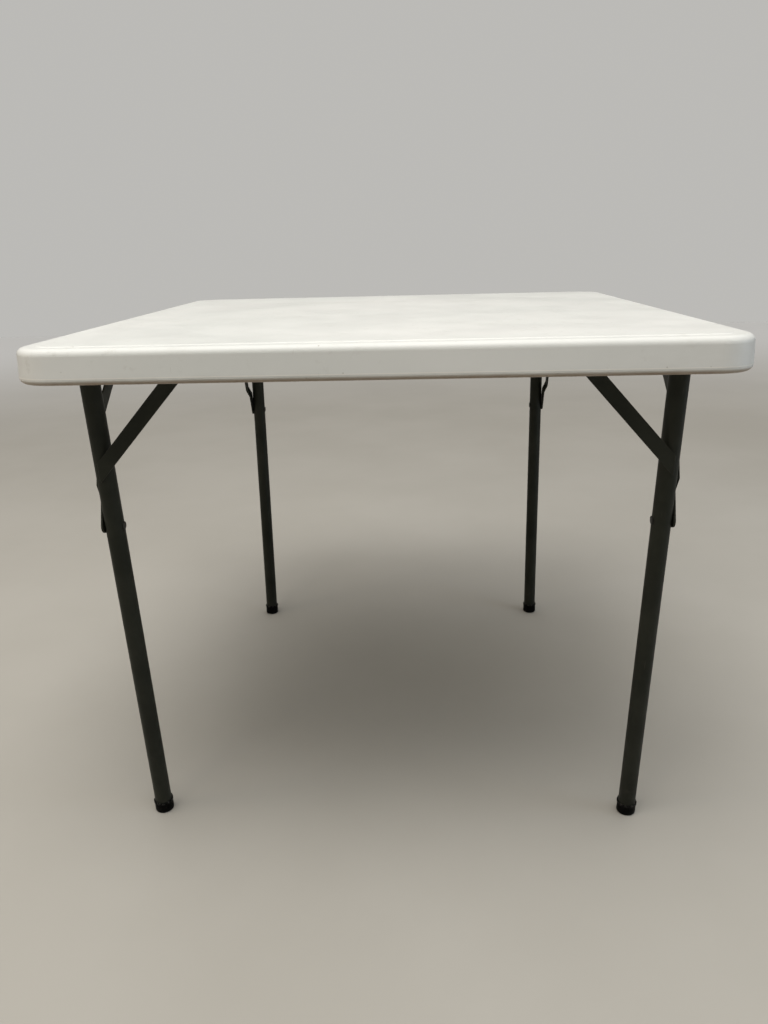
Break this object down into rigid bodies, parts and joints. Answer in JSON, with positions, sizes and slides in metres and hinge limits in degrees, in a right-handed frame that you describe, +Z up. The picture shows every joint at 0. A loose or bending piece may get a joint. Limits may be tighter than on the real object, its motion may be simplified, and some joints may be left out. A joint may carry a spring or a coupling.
{
  "type": "folding table",
  "caption": "Square moulded-top folding table whose round-tube leg frames, braced by gussets and folding links, swing flat into the underside of the top.",
  "frame": {"origin": "on the floor, under the middle of the top", "axes": "+Z up; +Y towards the rear leg frame, the one set narrower; +X to the right seen from the front"},
  "size_m": [0.8962, 0.8962, 0.74],
  "materials": {
    "moulded_top": "satin, finely grained high-density polyethylene",
    "frame_paint": "dark grey powder coat, satin",
    "link_steel": "dark grey powder coat, satin, worn at the edges",
    "rivets": "darkened steel",
    "zinc_screws": "zinc plated",
    "foot_caps": "matte, scuffed"
  },
  "bodies": {
    "top": {"table_top": "moulded_top", "strap_screws": "zinc_screws", "bracket_screws": "zinc_screws", "front_left_tube_strap": "link_steel", "front_left_link_bracket": "link_steel", "front_left_bracket_pin": "rivets", "front_right_tube_strap": "link_steel", "front_right_link_bracket": "link_steel", "front_right_bracket_pin": "rivets", "rear_left_tube_strap": "link_steel", "rear_left_link_bracket": "link_steel", "rear_left_bracket_pin": "rivets", "rear_right_tube_strap": "link_steel", "rear_right_link_bracket": "link_steel", "rear_right_bracket_pin": "rivets"},
    "front_frame": {"front_cross_tube": "frame_paint", "front_left_leg": "frame_paint", "front_left_gusset": "frame_paint", "front_left_foot_cap": "foot_caps", "front_left_leg_pivot": "rivets", "front_right_leg": "frame_paint", "front_right_gusset": "frame_paint", "front_right_foot_cap": "foot_caps", "front_right_leg_pivot": "rivets"},
    "rear_frame": {"rear_cross_tube": "frame_paint", "rear_left_leg": "frame_paint", "rear_left_gusset": "frame_paint", "rear_left_foot_cap": "foot_caps", "rear_left_leg_pivot": "rivets", "rear_right_leg": "frame_paint", "rear_right_gusset": "frame_paint", "rear_right_foot_cap": "foot_caps", "rear_right_leg_pivot": "rivets"},
    "front_left_lower_brace": {"front_left_lower_link": "link_steel", "front_left_knee_rivet_outer": "rivets"},
    "front_left_upper_brace": {"front_left_upper_link": "link_steel", "front_left_knee_rivet_inner": "rivets"},
    "front_right_lower_brace": {"front_right_lower_link": "link_steel", "front_right_knee_rivet_outer": "rivets"},
    "front_right_upper_brace": {"front_right_upper_link": "link_steel", "front_right_knee_rivet_inner": "rivets"},
    "rear_left_lower_brace": {"rear_left_lower_link": "link_steel", "rear_left_knee_rivet_outer": "rivets"},
    "rear_left_upper_brace": {"rear_left_upper_link": "link_steel", "rear_left_knee_rivet_inner": "rivets"},
    "rear_right_lower_brace": {"rear_right_lower_link": "link_steel", "rear_right_knee_rivet_outer": "rivets"},
    "rear_right_upper_brace": {"rear_right_upper_link": "link_steel", "rear_right_knee_rivet_inner": "rivets"}
  },
  "joints": [
    {"name": "front_fold", "type": "hinge", "parent": "top", "child": "front_frame", "pos_m": [0, -0.396, 0.7069], "axis": [1, 0, 0], "range_deg": [0, 86.2]},
    {"name": "rear_fold", "type": "hinge", "parent": "top", "child": "rear_frame", "pos_m": [0, 0.396, 0.7096], "axis": [-1, 0, 0], "range_deg": [0, 86.2]},
    {"name": "front_left_lower_turn", "type": "hinge", "parent": "front_frame", "child": "front_left_lower_brace", "pos_m": [-0.366, -0.38195, 0.49537], "axis": [1, 0, 0], "range_deg": [0, 23.41]},
    {"name": "front_left_upper_turn", "type": "hinge", "parent": "top", "child": "front_left_upper_brace", "pos_m": [-0.366, -0.252, 0.7069], "axis": [-1, 0, 0], "range_deg": [0, 37.62]},
    {"name": "front_right_lower_turn", "type": "hinge", "parent": "front_frame", "child": "front_right_lower_brace", "pos_m": [0.366, -0.38195, 0.49537], "axis": [1, 0, 0], "range_deg": [0, 23.41]},
    {"name": "front_right_upper_turn", "type": "hinge", "parent": "top", "child": "front_right_upper_brace", "pos_m": [0.366, -0.252, 0.7069], "axis": [-1, 0, 0], "range_deg": [0, 37.62]},
    {"name": "rear_left_lower_turn", "type": "hinge", "parent": "rear_frame", "child": "rear_left_lower_brace", "pos_m": [-0.314, 0.38195, 0.49807], "axis": [-1, 0, 0], "range_deg": [0, 23.41]},
    {"name": "rear_left_upper_turn", "type": "hinge", "parent": "top", "child": "rear_left_upper_brace", "pos_m": [-0.314, 0.252, 0.7096], "axis": [1, 0, 0], "range_deg": [0, 37.62]},
    {"name": "rear_right_lower_turn", "type": "hinge", "parent": "rear_frame", "child": "rear_right_lower_brace", "pos_m": [0.314, 0.38195, 0.49807], "axis": [-1, 0, 0], "range_deg": [0, 23.41]},
    {"name": "rear_right_upper_turn", "type": "hinge", "parent": "top", "child": "rear_right_upper_brace", "pos_m": [0.314, 0.252, 0.7096], "axis": [1, 0, 0], "range_deg": [0, 37.62]}
  ],
  "couplings": [
    {"joint": "front_left_lower_turn", "follows": "front_fold", "ratio": 0.27154},
    {"joint": "front_left_upper_turn", "follows": "front_fold", "ratio": 0.43638},
    {"joint": "front_right_lower_turn", "follows": "front_fold", "ratio": 0.27154},
    {"joint": "front_right_upper_turn", "follows": "front_fold", "ratio": 0.43638},
    {"joint": "rear_left_lower_turn", "follows": "rear_fold", "ratio": 0.27154},
    {"joint": "rear_left_upper_turn", "follows": "rear_fold", "ratio": 0.43638},
    {"joint": "rear_right_lower_turn", "follows": "rear_fold", "ratio": 0.27154},
    {"joint": "rear_right_upper_turn", "follows": "rear_fold", "ratio": 0.43638}
  ]
}
